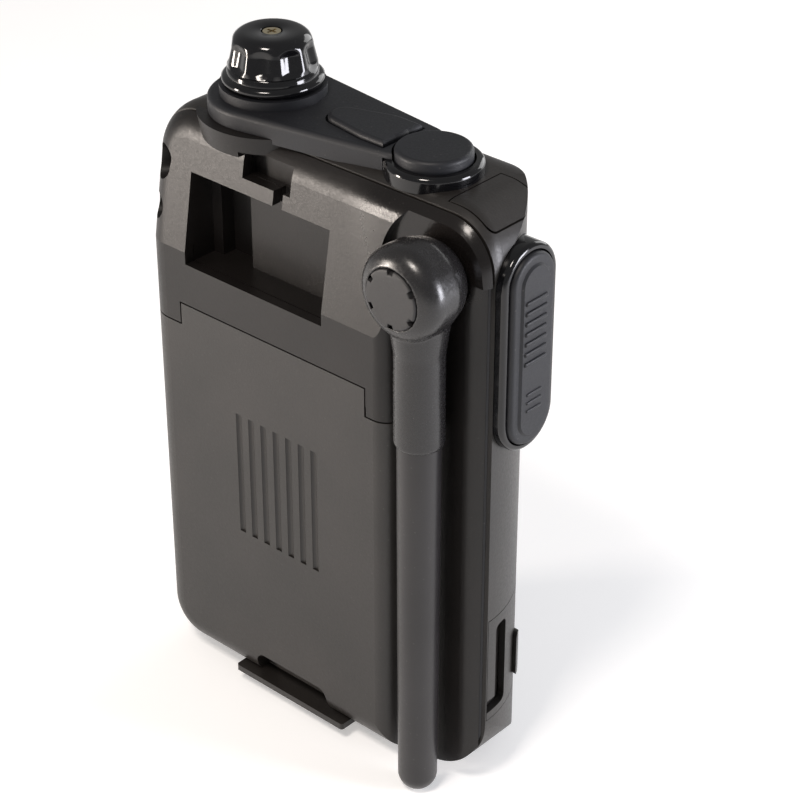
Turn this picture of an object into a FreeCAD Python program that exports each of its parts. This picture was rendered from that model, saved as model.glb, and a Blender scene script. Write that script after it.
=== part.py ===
import FreeCAD, Part
import math
import os

from FreeCAD import Vector

# Handheld two-way radio with a rotary volume knob, rubber top keys and a swing-out antenna.
# +Z is up, +Y is the rear (battery cover) side, +X is the volume knob side, units are millimetres.
# The origin is the centre of the flat base.

# Case
HALF_WIDTH = 29.0
HEIGHT = 85.5
REAR = 11.5
FRONT = -11.5
SEAM = 6.7
SEAM_GAP = 0.15
WALL = 1.5
TOP_CORNER = 7.0
BOTTOM_CORNER_LEFT = 6.5
BOTTOM_CORNER_RIGHT = 9.5
REAR_ROUND = 4.0
LEAN_START = 66.0
LEAN_DEPTH = 3.3
SIDE_ARC = 16.0
CROWN_ARC = 60.0
FRONT_TOP_ROUND = 6.0
FRONT_FOOT_ROUND = 2.5

# Antenna, stowed down the rear corner on the -X side
PIVOT_X = -21.6
PIVOT_Z = 76.8
ROD_Y = 12.0
STRIP_Y = 8.0
STRIP_INNER_X = -16.0
STRIP_EDGE_ROUND = 2.8
STRIP_SIDE_ROUND = 3.5
HEAD_POCKET_R = 8.6
HEAD_R = 6.3
HEAD_BACK = 8.4
CAP_Y = 17.2
CAP_R = 4.0
SLEEVE_R = 3.3
SLEEVE_END_Z = 54.0
ROD_TOP_R = 2.9
ROD_TIP_R = 2.7
ROD_TIP_Z = -1.8
PIVOT_R = 2.0
BUSH_R = 3.2
RUNNING_GAP = 0.05

# Battery cover and bay
COVER_TOP = 57.8
COVER_STEP_X = 22.2
COVER_STEP = 3.3
COVER_GAP = 0.22
COVER_FLOOR = 0.5
GROOVE_COUNT = 7
GROOVE_PITCH = 2.35
GROOVE_MID_X = 4.7
GROOVE_LOW_Z = 25.0
GROOVE_HIGH_Z = 44.3
LIP_LOW_X = -7.5
LIP_HIGH_X = 13.6
LIP_TOP = 1.1
LIP_OUT = 0.7
RECESS_LOW_X = -3.8
RECESS_HIGH_X = 10.0
RECESS_TOP = 4.7
BAY_LOW_X = -13.0
BAY_HIGH_X = 22.5
BAY_LOW_Z = 2.6
BAY_HIGH_Z = 56.2
BAY_FLOOR_Y = -4.6
BAY_RIM_Y = 8.5
BAY_WALL = 1.0

# Belt clip seat
CLIP_LOW_X = -4.3
CLIP_HIGH_X = 20.9
CLIP_LOW_Z = 64.2
CLIP_HIGH_Z = 77.3
CLIP_FLOOR_Y = 6.0
CLIP_LIP = 1.2
LATCH_LOW_X = 3.0
LATCH_HIGH_X = 11.6
LATCH_LOW_Z = 79.3
LATCH_HIGH_Z = 83.2

# Top controls
KNOB_X = 14.2
KNOB_Y = 0.5
KNOB_TOP = 96.4
KNOB_SCREW_R = 1.2
KNOB_SKIRT_Z = 89.6
KNOB_FLUTES = 9
PAD_LOW = 85.0
BOSS_FOOT = 82.4
BOSS_FOOT_R = 9.6
BOSS_TOP = 85.6
BOSS_TOP_R = 10.2
PAD_TOP = 88.0
PAD_KNOB_R = 8.7
PAD_TAIL_X = -8.5
PAD_TAIL_Y = -0.3
PAD_TAIL_R = 5.2
KEY_TOP = 88.7
KEY_FLOOR = 86.3
KEY_GAP = 0.3
KEY_STEM_R = 1.4
ROUND_KEY_X = -13.6
ROUND_KEY_Y = 0.4
ROUND_KEY_R = 5.0
KEY_SPLIT_X = -8.3
PLINTH_R = 6.4
PLINTH_TOP = 87.2

# Push-to-talk key on the -X side
TALK_Y = 1.35
TALK_LOW_Z = 52.0
TALK_HIGH_Z = 81.2
TALK_HALF_WIDTH = 5.1
TALK_BEZEL_X = -30.4
TALK_FACE_X = -31.3
TALK_BEZEL_WALL = 0.8

# Jack cover on the -X shoulder
FLAP_LOW_Y = -4.2
FLAP_HIGH_Y = 5.4
FLAP_INNER_X = -20.6
FLAP_LOW_Z = 83.1
FLAP_WALL = 1.2
JACK_X = -22.7
JACK_Y = 0.4
JACK_R = 1.75
JACK_WALL = 0.4
JACK_MOUTH_Z = 83.6
JACK_BORE = 10.0

# Front face
DISPLAY_LOW_Z = 56.0
DISPLAY_HIGH_Z = 72.0
DISPLAY_HALF_WIDTH = 15.0
FRONT_KEY_Z = 45.0
FRONT_KEY_PITCH = 9.0
FRONT_KEY_HALF_WIDTH = 3.4
FRONT_KEY_HALF_HEIGHT = 2.3
BOARD_Y = -6.4
BOARD_THICKNESS = 1.0

# Cradle guides low on both sides
GUIDE_TOP = 26.5
GUIDE_LOW = 10.0
GUIDE_SLOT_LOW_Y = 2.0
GUIDE_SLOT_HIGH_Y = 4.6
GUIDE_RIDGE = 7.0

GROOVE_DEPTH = 0.35

# Screws, loudspeaker, microphone and charging contacts
SIDE_SCREW_X = 24.6
SIDE_SCREW_Z = (9.0, 49.0)
BAY_SCREW_X = -9.5
BAY_SCREW_Z = (6.6, 51.8)
SPEAKER_Z = 22.0
SPEAKER_R = 9.0
GRILLE_ROWS = 5
GRILLE_PITCH = 3.2
MIC_X = 11.0
MIC_Z = 38.0
CONTACT_X = (-9.0, 9.0)
CONTACT_Y = -2.0

# Charger inserts, jacks and talk key details
INSERT_WALL = 1.0
GUIDE_LOW_Y = -3.2
GUIDE_HIGH_Y = 6.3
TALK_BACK_X = -25.4
TALK_RIDGES = 7
TALK_RIDGE_LOW_Z = 66.6
TALK_RIDGE_PITCH = 1.5
TALK_RIDGE_TILT = 12

X_AXIS = Vector(1, 0, 0)
Y_AXIS = Vector(0, 1, 0)
Z_AXIS = Vector(0, 0, 1)


def box(x0, x1, y0, y1, z0, z1):
    """Block between two opposite corners."""
    return Part.makeBox(x1 - x0, y1 - y0, z1 - z0, Vector(x0, y0, z0))


def rod_x(radius, x0, x1, y, z):
    """Round bar along X."""
    return Part.makeCylinder(radius, x1 - x0, Vector(x0, y, z), X_AXIS)


def rod_y(radius, y0, y1, x, z):
    """Round bar along Y."""
    return Part.makeCylinder(radius, y1 - y0, Vector(x, y0, z), Y_AXIS)


def rod_z(radius, z0, z1, x, y):
    """Round bar along Z."""
    return Part.makeCylinder(radius, z1 - z0, Vector(x, y, z0), Z_AXIS)


def prism(corners, direction):
    """Straight prism on a closed polygon."""
    return Part.Face(Part.makePolygon(corners + [corners[0]])).extrude(direction)


def arc(start, middle, end):
    """Circular edge through three points."""
    return Part.Arc(start, middle, end).toShape()


def line(start, end):
    """Straight edge."""
    return Part.LineSegment(start, end).toShape()


def turned(points, base, axis_x, axis_r):
    """Solid of revolution: points are (radius, distance along axis) pairs from the base."""
    corners = [base + axis_r * r + axis_x * h for r, h in points]
    face = Part.Face(Part.makePolygon(corners + [corners[0]]))
    return face.revolve(base, axis_x, 360)


def rounded_block(x0, x1, y0, y1, z0, z1, radius, along):
    """Block whose four edges along one axis are rounded."""
    block = box(x0, x1, y0, y1, z0, z1)
    edges = [e for e in block.Edges if abs(abs(e.tangentAt(e.FirstParameter).dot(along)) - 1) < 1e-6]
    return block.makeFillet(radius, edges)


def case_front_outline(inset):
    """Plan of the case: square at the rear, boat-shaped towards the front."""
    side_x = HALF_WIDTH - SIDE_ARC
    crown_y = FRONT + CROWN_ARC
    side_y = crown_y - math.sqrt((CROWN_ARC - SIDE_ARC) ** 2 - side_x ** 2)
    lean = Vector(side_x, side_y - crown_y, 0).normalize()
    middle = Vector(1, lean.y / (1 + lean.x), 0).normalize()
    half = HALF_WIDTH - inset
    radius = SIDE_ARC - inset
    edges = [line(Vector(-half, REAR + 5, 0), Vector(half, REAR + 5, 0))]
    right_centre = Vector(side_x, side_y, 0)
    right_join = right_centre + lean * radius
    edges.append(line(Vector(half, REAR + 5, 0), Vector(half, side_y, 0)))
    edges.append(arc(Vector(half, side_y, 0), right_centre + middle * radius, right_join))
    left_centre = Vector(-side_x, side_y, 0)
    left_join = left_centre + Vector(-lean.x, lean.y, 0) * radius
    edges.append(arc(right_join, Vector(0, FRONT + inset, 0), left_join))
    left_middle = left_centre + Vector(-middle.x, middle.y, 0) * radius
    edges.append(arc(left_join, left_middle, Vector(-half, side_y, 0)))
    edges.append(line(Vector(-half, side_y, 0), Vector(-half, REAR + 5, 0)))
    return Part.Face(Part.Wire(edges)).extrude(Vector(0, 0, HEIGHT + 10))


def case_front_rounds(inset):
    """Side view of the case with its front edges rounded at the top and the foot."""
    top = HEIGHT - inset
    front = FRONT + inset
    head = FRONT_TOP_ROUND - inset
    foot = max(FRONT_FOOT_ROUND - inset, 0.5)
    cut = 1 - math.sqrt(0.5)
    x = -HALF_WIDTH - 5
    edges = [
        line(Vector(x, REAR + 1, inset), Vector(x, REAR + 1, top)),
        line(Vector(x, REAR + 1, top), Vector(x, front + head, top)),
        arc(Vector(x, front + head, top), Vector(x, front + head * cut, top - head * cut),
            Vector(x, front, top - head)),
        line(Vector(x, front, top - head), Vector(x, front, inset + foot)),
        arc(Vector(x, front, inset + foot), Vector(x, front + foot * cut, inset + foot * cut),
            Vector(x, front + foot, inset)),
        line(Vector(x, front + foot, inset), Vector(x, REAR + 1, inset)),
    ]
    return Part.Face(Part.Wire(edges)).extrude(Vector(2 * HALF_WIDTH + 10, 0, 0))


def case_slab(inset):
    """Rear view of the case as a slab: rounded corners, rounded rear edge, upper part leaning forward."""
    half = HALF_WIDTH - inset
    slab = box(-half, half, FRONT - 5, REAR - inset, inset, HEIGHT - inset)
    high = [e for e in slab.Edges if runs_forward(e) and e.CenterOfMass.z > HEIGHT / 2]
    slab = slab.makeFillet(TOP_CORNER - inset, high)
    for sign, radius in ((1, BOTTOM_CORNER_LEFT), (-1, BOTTOM_CORNER_RIGHT)):
        low = [e for e in slab.Edges if runs_forward(e) and e.CenterOfMass.z < inset + 0.1]
        slab = slab.makeFillet(radius - inset, [e for e in low if sign * e.CenterOfMass.x > half - 0.1])
    rim = [e for e in slab.Edges if e.BoundBox.YMin > REAR - inset - 0.01]
    slab = slab.makeFillet(REAR_ROUND - inset, rim)
    slope = LEAN_DEPTH / (HEIGHT - LEAN_START)
    shear = FreeCAD.Matrix()
    shear.A23 = -slope
    shear.A24 = slope * LEAN_START
    upper = slab.common(box(-40, 40, -40, 40, LEAN_START, HEIGHT + 5)).transformGeometry(shear)
    lower = slab.common(box(-40, 40, -40, 40, -5, LEAN_START))
    return lower.fuse(upper)


def runs_forward(edge):
    """True for straight edges that run from front to rear."""
    return abs(edge.tangentAt(edge.FirstParameter).y) > 0.99


def case_block(inset=0.0):
    """The solid outer form of the case, or the same form set in from every wall."""
    return case_slab(inset).common(case_front_outline(inset)).common(case_front_rounds(inset))


def stadium(radius, x0, x1, y, low_z, high_z):
    """Bar along X with a slot-shaped section: straight sides and round ends."""
    ends = rod_x(radius, x0, x1, y, low_z + radius).fuse(rod_x(radius, x0, x1, y, high_z - radius))
    return ends.fuse(box(x0, x1, y - radius, y + radius, low_z + radius, high_z - radius)).removeSplitter()


def tapered_plan(x_a, y_a, r_a, x_b, y_b, r_b, z0, z1):
    """Upright prism on two circles joined by their outer tangents."""
    gap = math.hypot(x_b - x_a, y_b - y_a)
    along = math.atan2(y_b - y_a, x_b - x_a)
    spread = math.acos((r_a - r_b) / gap)
    corners = []
    for sign in (1, -1):
        turn = along + sign * spread
        corners.append(Vector(x_a + r_a * math.cos(turn), y_a + r_a * math.sin(turn), z0))
        corners.append(Vector(x_b + r_b * math.cos(turn), y_b + r_b * math.sin(turn), z0))
    web = prism([corners[0], corners[1], corners[3], corners[2]], Vector(0, 0, z1 - z0))
    return web.fuse([rod_z(r_a, z0, z1, x_a, y_a), rod_z(r_b, z0, z1, x_b, y_b)]).removeSplitter()


def between_y(y0, y1):
    """Everything between two planes across the case."""
    return box(-60, 60, y0, y1, -20, 120)


def flared_pocket(far):
    """Round pocket under the antenna head, whose mouth flares out in a convex curve."""
    neck = PIVOT_X + HEAD_POCKET_R
    mouth = neck + STRIP_EDGE_ROUND
    start = REAR - STRIP_EDGE_ROUND
    cut = STRIP_EDGE_ROUND * (1 - math.sqrt(0.5))
    edges = [
        line(Vector(PIVOT_X, STRIP_Y, PIVOT_Z), Vector(neck, STRIP_Y, PIVOT_Z)),
        line(Vector(neck, STRIP_Y, PIVOT_Z), Vector(neck, start, PIVOT_Z)),
        arc(Vector(neck, start, PIVOT_Z), Vector(neck + cut, REAR - cut, PIVOT_Z),
            Vector(mouth, REAR, PIVOT_Z)),
        line(Vector(mouth, REAR, PIVOT_Z), Vector(mouth, far, PIVOT_Z)),
        line(Vector(mouth, far, PIVOT_Z), Vector(PIVOT_X, far, PIVOT_Z)),
        line(Vector(PIVOT_X, far, PIVOT_Z), Vector(PIVOT_X, STRIP_Y, PIVOT_Z)),
    ]
    return Part.Face(Part.Wire(edges)).revolve(Vector(PIVOT_X, 0, PIVOT_Z), Y_AXIS, 360)


def corner_strip():
    """Space taken out of the rear corner on the -X side, where the stowed antenna lies."""
    edge = STRIP_EDGE_ROUND
    side = STRIP_SIDE_ROUND
    cut = 1 - math.sqrt(0.5)
    z = -5
    top_x = STRIP_INNER_X + edge
    outer_x = -HALF_WIDTH
    far = REAR + 8
    edges = [
        line(Vector(top_x, far, z), Vector(top_x, REAR, z)),
        arc(Vector(top_x, REAR, z), Vector(STRIP_INNER_X + edge * cut, REAR - edge * cut, z),
            Vector(STRIP_INNER_X, REAR - edge, z)),
        line(Vector(STRIP_INNER_X, REAR - edge, z), Vector(STRIP_INNER_X, STRIP_Y, z)),
        line(Vector(STRIP_INNER_X, STRIP_Y, z), Vector(outer_x + side, STRIP_Y, z)),
        arc(Vector(outer_x + side, STRIP_Y, z), Vector(outer_x + side * cut, STRIP_Y - side * cut, z),
            Vector(outer_x, STRIP_Y - side, z)),
        line(Vector(outer_x, STRIP_Y - side, z), Vector(outer_x - 8, STRIP_Y - side, z)),
        line(Vector(outer_x - 8, STRIP_Y - side, z), Vector(outer_x - 8, far, z)),
        line(Vector(outer_x - 8, far, z), Vector(top_x, far, z)),
    ]
    below = Part.Face(Part.Wire(edges)).extrude(Vector(0, 0, PIVOT_Z - z))
    pocket = flared_pocket(far)
    beside = box(outer_x - 8, PIVOT_X, STRIP_Y, far, PIVOT_Z - 1, HEIGHT + 5)
    return below.fuse([pocket, beside])


def cover_space(gap):
    """Space of the battery cover, grown by a gap, with its top edge stepped down at both ends."""
    top = COVER_TOP + gap
    low_x = STRIP_INNER_X - gap
    space = box(low_x, 40, STRIP_Y + COVER_GAP - gap, 30, -5, top - COVER_STEP - 0.9)
    backing = box(BAY_LOW_X + BAY_WALL - gap, 40, SEAM + SEAM_GAP - gap, 30, -5, top - COVER_STEP - 0.9)
    space = space.fuse(backing)
    space = space.fuse(box(-11.7 - gap, 40, SEAM + SEAM_GAP - gap, 30, 40, top - COVER_STEP))
    space = space.fuse(box(-11.7 - gap, COVER_STEP_X + gap, SEAM + SEAM_GAP - gap, 30, 40, top))
    return space.removeSplitter()


def clip_seat():
    """Pocket of the belt clip: flat floor, deep groove on one side and a raised strip on the other."""
    pocket = box(CLIP_LOW_X + 2.8, CLIP_HIGH_X, CLIP_FLOOR_Y, 30, CLIP_LOW_Z, CLIP_HIGH_Z)
    strip = box(CLIP_LOW_X, CLIP_LOW_X + 3.8, CLIP_FLOOR_Y + 0.6, 30, CLIP_LOW_Z, CLIP_HIGH_Z)
    groove = box(CLIP_HIGH_X - 7.4, CLIP_HIGH_X - 1.8, CLIP_FLOOR_Y - 2.2, 30, CLIP_LOW_Z, CLIP_HIGH_Z)
    notch = box(4.2, 5.9, CLIP_FLOOR_Y + 1.0, 30, CLIP_HIGH_Z - 1, LATCH_LOW_Z + 1)
    latch = box(LATCH_LOW_X, LATCH_HIGH_X, 6.6, 30, LATCH_LOW_Z, LATCH_HIGH_Z)
    return pocket.fuse([strip, groove, notch, latch])


def clip_tray():
    """Walls that close the belt clip pocket inside the case."""
    shallow = box(CLIP_LOW_X - CLIP_LIP, CLIP_HIGH_X + CLIP_LIP, CLIP_FLOOR_Y - 1.2, REAR - 1.2,
                  CLIP_LOW_Z - CLIP_LIP, CLIP_HIGH_Z + CLIP_LIP)
    deep = box(CLIP_HIGH_X - 8.4, CLIP_HIGH_X - 0.8, CLIP_FLOOR_Y - 3.2, REAR - 1.2,
               CLIP_LOW_Z - CLIP_LIP, CLIP_HIGH_Z + CLIP_LIP)
    latch = box(LATCH_LOW_X - 1, LATCH_HIGH_X + 1, 5.4, 8.0, LATCH_LOW_Z - 1, LATCH_HIGH_Z + 1)
    return shallow.fuse([deep, latch])


def strap_tunnel():
    """Two openings in the rear corner joined behind a bridge, for a hand strap."""
    tunnel = rod_z(1.7, 68.6, 79.4, 24.9, 6.9)
    for low_z, high_z in ((68.6, 72.3), (74.4, 79.4)):
        mouth = stadium(1.8, 0.0, 12.0, 0.0, low_z, high_z)
        mouth.rotate(Vector(0, 0, 0), Z_AXIS, 50)
        mouth.translate(Vector(24.9, 6.9, 0))
        tunnel = tunnel.fuse(mouth)
    return tunnel


def rear_housing(block, cavity, clear_cavity):
    """Rear shell: battery tub, antenna strip, belt clip seat and strap tunnel."""
    shell = block.common(between_y(SEAM + SEAM_GAP, 30))
    hollow = cavity.common(box(STRIP_INNER_X + WALL, 60, -20, 30, -20, 120))
    shell = shell.cut(hollow).cut(cover_space(COVER_GAP))
    boss_foot = Vector(KNOB_X, KNOB_Y, BOSS_FOOT)
    boss = Part.makeCone(BOSS_FOOT_R, BOSS_TOP_R, BOSS_TOP - BOSS_FOOT, boss_foot, Z_AXIS)
    boss = boss.common(between_y(SEAM + SEAM_GAP, REAR)).cut(cavity)
    shell = shell.fuse(boss)
    strip_floor = clear_cavity.common(box(-40, BAY_LOW_X + BAY_WALL, STRIP_Y - 2.4, STRIP_Y, -5, 100))
    ledge = clear_cavity.common(box(BAY_LOW_X, 40, SEAM - 0.7, 9.7, BAY_HIGH_Z - BAY_WALL, COVER_TOP + 1.6))
    bridge = cavity.common(box(STRIP_INNER_X + WALL - 0.1, 40, SEAM + SEAM_GAP, 11,
                               COVER_TOP + 0.3, COVER_TOP + 1.6))
    step = cavity.common(box(COVER_STEP_X + 0.3, 40, SEAM + SEAM_GAP, 11, COVER_TOP - COVER_STEP + 0.3,
                             COVER_TOP + 1.0))
    tub = clear_cavity.common(box(BAY_LOW_X, BAY_HIGH_X, BAY_FLOOR_Y, BAY_RIM_Y, BAY_LOW_Z, BAY_HIGH_Z))
    bay = box(BAY_LOW_X + BAY_WALL, BAY_HIGH_X - BAY_WALL, BAY_FLOOR_Y + BAY_WALL, 20,
              BAY_LOW_Z + BAY_WALL, BAY_HIGH_Z - BAY_WALL)
    strap_corner = cavity.common(box(CLIP_HIGH_X, 40, SEAM + SEAM_GAP, 11, 66.6, 81.4))
    strap_inner = clear_cavity.common(box(CLIP_HIGH_X + 0.2, 40, 4.2, SEAM + 0.5, 66.6, 81.4))
    tray = clear_cavity.common(clip_tray())
    solid = shell.fuse([strip_floor, ledge, bridge, step, tub, strap_corner, strap_inner, tray])
    tabs = [clear_cavity.common(box(BAY_HIGH_X - 0.5, 26.9, 5.2, 6.5, z - 4, z + 4)) for z in SIDE_SCREW_Z]
    solid = solid.fuse(tabs)
    solid = solid.cut(bay)
    solid = solid.cut(corner_strip()).cut(clip_seat()).cut(strap_tunnel())
    solid = solid.cut(box(RECESS_LOW_X - 1.7, RECESS_HIGH_X + 1.7, 7.3, 20, -1, RECESS_TOP + 1.7))
    solid = solid.cut(stadium(TALK_HALF_WIDTH + 0.1, -40, TALK_BACK_X + 0.1, TALK_Y, TALK_LOW_Z - 0.1,
                              TALK_HIGH_Z + 0.1))
    solid = solid.cut(rod_y(BUSH_R + 0.02, 0, STRIP_Y + 2, PIVOT_X, PIVOT_Z))
    for x, z in screw_places():
        solid = solid.cut(rod_y(1.15, -20, 8, x, z))
    return solid


def screw_places():
    """X and Z of the four case screws."""
    return [(SIDE_SCREW_X, z) for z in SIDE_SCREW_Z] + [(BAY_SCREW_X, z) for z in BAY_SCREW_Z]


def front_housing(block, cavity, clear_cavity):
    """Front shell: speaker grille, display and key openings, talk key and jack openings, base lip."""
    shell = block.common(between_y(-20, SEAM - SEAM_GAP)).cut(cavity)
    thick = cavity.cut(case_block(WALL + 1.3))
    flap_wall = thick.common(box(-40, FLAP_INNER_X + 2, FLAP_LOW_Y - 1.2, FLAP_HIGH_Y,
                                 FLAP_LOW_Z - 1.2, 100))
    insert_wall = thick.common(box(-40, 40, GUIDE_LOW_Y - 1, STRIP_Y - 3.0,
                                   GUIDE_LOW - 1.2, GUIDE_TOP + 1.2))
    insert_wall = insert_wall.cut(box(-22.7, 22.7, -30, 30, 0, 90))
    lip = rounded_block(LIP_LOW_X, LIP_HIGH_X, SEAM - 3, REAR + LIP_OUT, 0.15, LIP_TOP, 0.45, Z_AXIS)
    bosses = [cavity.common(rod_y(2.1, -20, 5.1, SIDE_SCREW_X, z)) for z in SIDE_SCREW_Z]
    bosses += [cavity.common(rod_y(2.1, -20, BOARD_Y - 0.65, BAY_SCREW_X, z)) for z in BAY_SCREW_Z]
    solid = shell.fuse([flap_wall, insert_wall, lip] + bosses)
    solid = solid.cut(flap_shell(0.2))
    solid = solid.cut(insert_plate(1, 0.1)).cut(insert_plate(-1, 0.1))
    solid = solid.cut(stadium(TALK_HALF_WIDTH + 0.05, -40, -20, TALK_Y,
                              TALK_LOW_Z - 0.05, TALK_HIGH_Z + 0.05))
    solid = solid.cut(rod_z(JACK_R + 0.2, 80, 90, JACK_X, JACK_Y))
    solid = solid.cut(jack_block(0.05))
    solid = solid.cut(rod_z(3.55, 80, 90, KNOB_X, KNOB_Y))
    for x, y in key_stems():
        solid = solid.cut(rod_z(KEY_STEM_R + KEY_GAP, 80, 90, x, y))
    solid = solid.cut(box(-DISPLAY_HALF_WIDTH - 1, DISPLAY_HALF_WIDTH + 1, -30, -4,
                          DISPLAY_LOW_Z - 1, DISPLAY_HIGH_Z + 1))
    for x in front_key_places():
        solid = solid.cut(front_key_bar(x, KEY_GAP, -30, -5))
    solid = solid.cut(grille_slots())
    solid = solid.cut(rod_y(0.7, -30, -5, MIC_X, MIC_Z))
    for x, z in screw_places():
        solid = solid.cut(rod_y(0.9, -9.2 if x < 0 else -0.2, 8, x, z))
    for x in CONTACT_X:
        solid = solid.cut(rod_z(1.5, -5, 5, x, CONTACT_Y))
    return solid.removeSplitter()


def grille_slots():
    """Horizontal slots in front of the loudspeaker, shorter towards the top and bottom."""
    slots = []
    for row in range(GRILLE_ROWS):
        z = SPEAKER_Z + (row - (GRILLE_ROWS - 1) / 2) * GRILLE_PITCH
        half = math.sqrt(SPEAKER_R ** 2 - (z - SPEAKER_Z) ** 2) - 1.5
        slots.append(rounded_block(-half, half, -30, -5, z - 0.7, z + 0.7, 0.65, Y_AXIS))
    return Part.makeCompound(slots)


def front_key_places():
    """X of the keys in the front row."""
    return [(i - 1.5) * FRONT_KEY_PITCH for i in range(4)]


def front_key_bar(x, grow, y0, y1):
    """Rounded bar of one front key, grown on every side."""
    return rounded_block(x - FRONT_KEY_HALF_WIDTH - grow, x + FRONT_KEY_HALF_WIDTH + grow, y0, y1,
                         FRONT_KEY_Z - FRONT_KEY_HALF_HEIGHT - grow,
                         FRONT_KEY_Z + FRONT_KEY_HALF_HEIGHT + grow,
                         1.6 + grow, Y_AXIS)


def front_key(x):
    """Key that stands slightly proud of the crowned front."""
    crown = FRONT + CROWN_ARC - math.sqrt(CROWN_ARC ** 2 - x ** 2)
    key = front_key_bar(x, 0, crown - 0.6, -8.0)
    rim = [e for e in key.Edges if e.BoundBox.YMax < crown - 0.59]
    return key.makeFillet(0.35, rim)


def housing_gasket():
    """Seal that shows as a dark line in the joint between the shells."""
    low = SEAM - SEAM_GAP + 0.03
    ring = case_block(0.45).cut(case_block(1.35)).common(between_y(low, SEAM + SEAM_GAP - 0.03))
    ring = ring.cut(box(LIP_LOW_X - 0.2, LIP_HIGH_X + 0.2, 0, 20, -1, 2))
    ring = ring.cut(stadium(TALK_HALF_WIDTH + 0.1, -40, -20, TALK_Y, TALK_LOW_Z, TALK_HIGH_Z))
    return ring.cut(corner_strip())


def battery_cover(block, cavity):
    """Ribbed cover that wraps the rear, the outer side and the foot of the case."""
    space = cover_space(0).common(box(-60, 60, -20, 60, COVER_FLOOR, 80))
    hollow = cavity.common(box(STRIP_INNER_X + WALL, 60, -20, 30, -20, 120))
    shell = block.common(space).cut(hollow)
    backing = box(RECESS_LOW_X - 1.4, RECESS_HIGH_X + 1.4, 7.6, 10.4, LIP_TOP + 0.4, RECESS_TOP + 1.4)
    shell = shell.fuse(backing).cut(corner_strip())
    recess = rounded_block(RECESS_LOW_X, RECESS_HIGH_X, 9.1, 20, -4, RECESS_TOP, 1.6, Y_AXIS)
    shell = shell.cut(recess)
    shell = shell.cut(box(LIP_LOW_X - 0.4, LIP_HIGH_X + 0.4, 0, 20, -1, LIP_TOP + 0.4))
    for index in range(GROOVE_COUNT):
        x = GROOVE_MID_X + (index - (GROOVE_COUNT - 1) / 2) * GROOVE_PITCH
        shell = shell.cut(rod_z(0.6, GROOVE_LOW_Z, GROOVE_HIGH_Z, x, REAR + 0.6 - GROOVE_DEPTH))
    return shell.removeSplitter()


def flap_space(grow):
    """Block that bounds the jack cover on the shoulder."""
    return rounded_block(-40, FLAP_INNER_X + grow, FLAP_LOW_Y - grow, FLAP_HIGH_Y + grow,
                         FLAP_LOW_Z - grow, 100,
                         1.0, X_AXIS)


def flap_shell(grow):
    """Curved skin of the jack cover, grown sideways and in depth."""
    return case_block(0.0).cut(case_block(FLAP_WALL + grow)).common(flap_space(grow))


def jack_cover():
    """Rubber flap over the two jacks."""
    return flap_shell(0.0)


def insert_plate(side, grow):
    """Side insert with the slot that guides the radio in its charging cradle."""
    skin = case_block(0.0).cut(case_block(INSERT_WALL + grow))
    window = box(20, 40, GUIDE_LOW_Y - grow, GUIDE_HIGH_Y + grow, GUIDE_LOW - grow, GUIDE_TOP + grow)
    if side < 0:
        window = window.mirror(Vector(0, 0, 0), X_AXIS)
    return skin.common(window)


def charger_insert(side):
    """Insert with its guide slot and a low ridge in front of it."""
    plate = insert_plate(side, 0.0)
    slot = rounded_block(20, 40, GUIDE_SLOT_LOW_Y, GUIDE_SLOT_HIGH_Y,
                         GUIDE_LOW + 1.2, GUIDE_TOP - 1.6, 0.9, X_AXIS)
    foot = rounded_block(20, 40, GUIDE_SLOT_LOW_Y, GUIDE_HIGH_Y + 2,
                         GUIDE_LOW + 1.2, GUIDE_LOW + 3.2, 0.9, X_AXIS)
    ridge_low = GUIDE_LOW + 2.4
    ridge = rounded_block(20, 40, GUIDE_LOW_Y + 0.2, GUIDE_LOW_Y + 1.8,
                          ridge_low, ridge_low + GUIDE_RIDGE, 0.7, X_AXIS)
    ridge = case_block(-0.6).cut(case_block(0.4)).common(ridge)
    for tool in (slot, foot, ridge):
        if side < 0:
            moved = tool.mirror(Vector(0, 0, 0), X_AXIS)
        else:
            moved = tool
        if tool is ridge:
            plate = plate.fuse(moved)
        else:
            plate = plate.cut(moved)
    return plate.removeSplitter()


def talk_bezel():
    """Glossy frame of the talk key, with a back plate."""
    outside = stadium(TALK_HALF_WIDTH, TALK_BEZEL_X, TALK_BACK_X, TALK_Y, TALK_LOW_Z, TALK_HIGH_Z)
    rim = [e for e in outside.Edges if e.BoundBox.XMax < TALK_BEZEL_X + 0.01]
    outside = outside.makeFillet(0.6, rim)
    wall = TALK_BEZEL_WALL
    inside = stadium(TALK_HALF_WIDTH - wall, TALK_BEZEL_X - 2, TALK_BACK_X - 0.8, TALK_Y,
                     TALK_LOW_Z + wall, TALK_HIGH_Z - wall)
    stem_z = (TALK_LOW_Z + TALK_HIGH_Z) / 2
    bezel = outside.cut(inside).cut(rod_x(1.7, TALK_BACK_X - 2, TALK_BACK_X + 2, TALK_Y, stem_z))
    return bezel.common(box(-60, 60, -20, SEAM - SEAM_GAP - 0.05, 0, 100))


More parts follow.
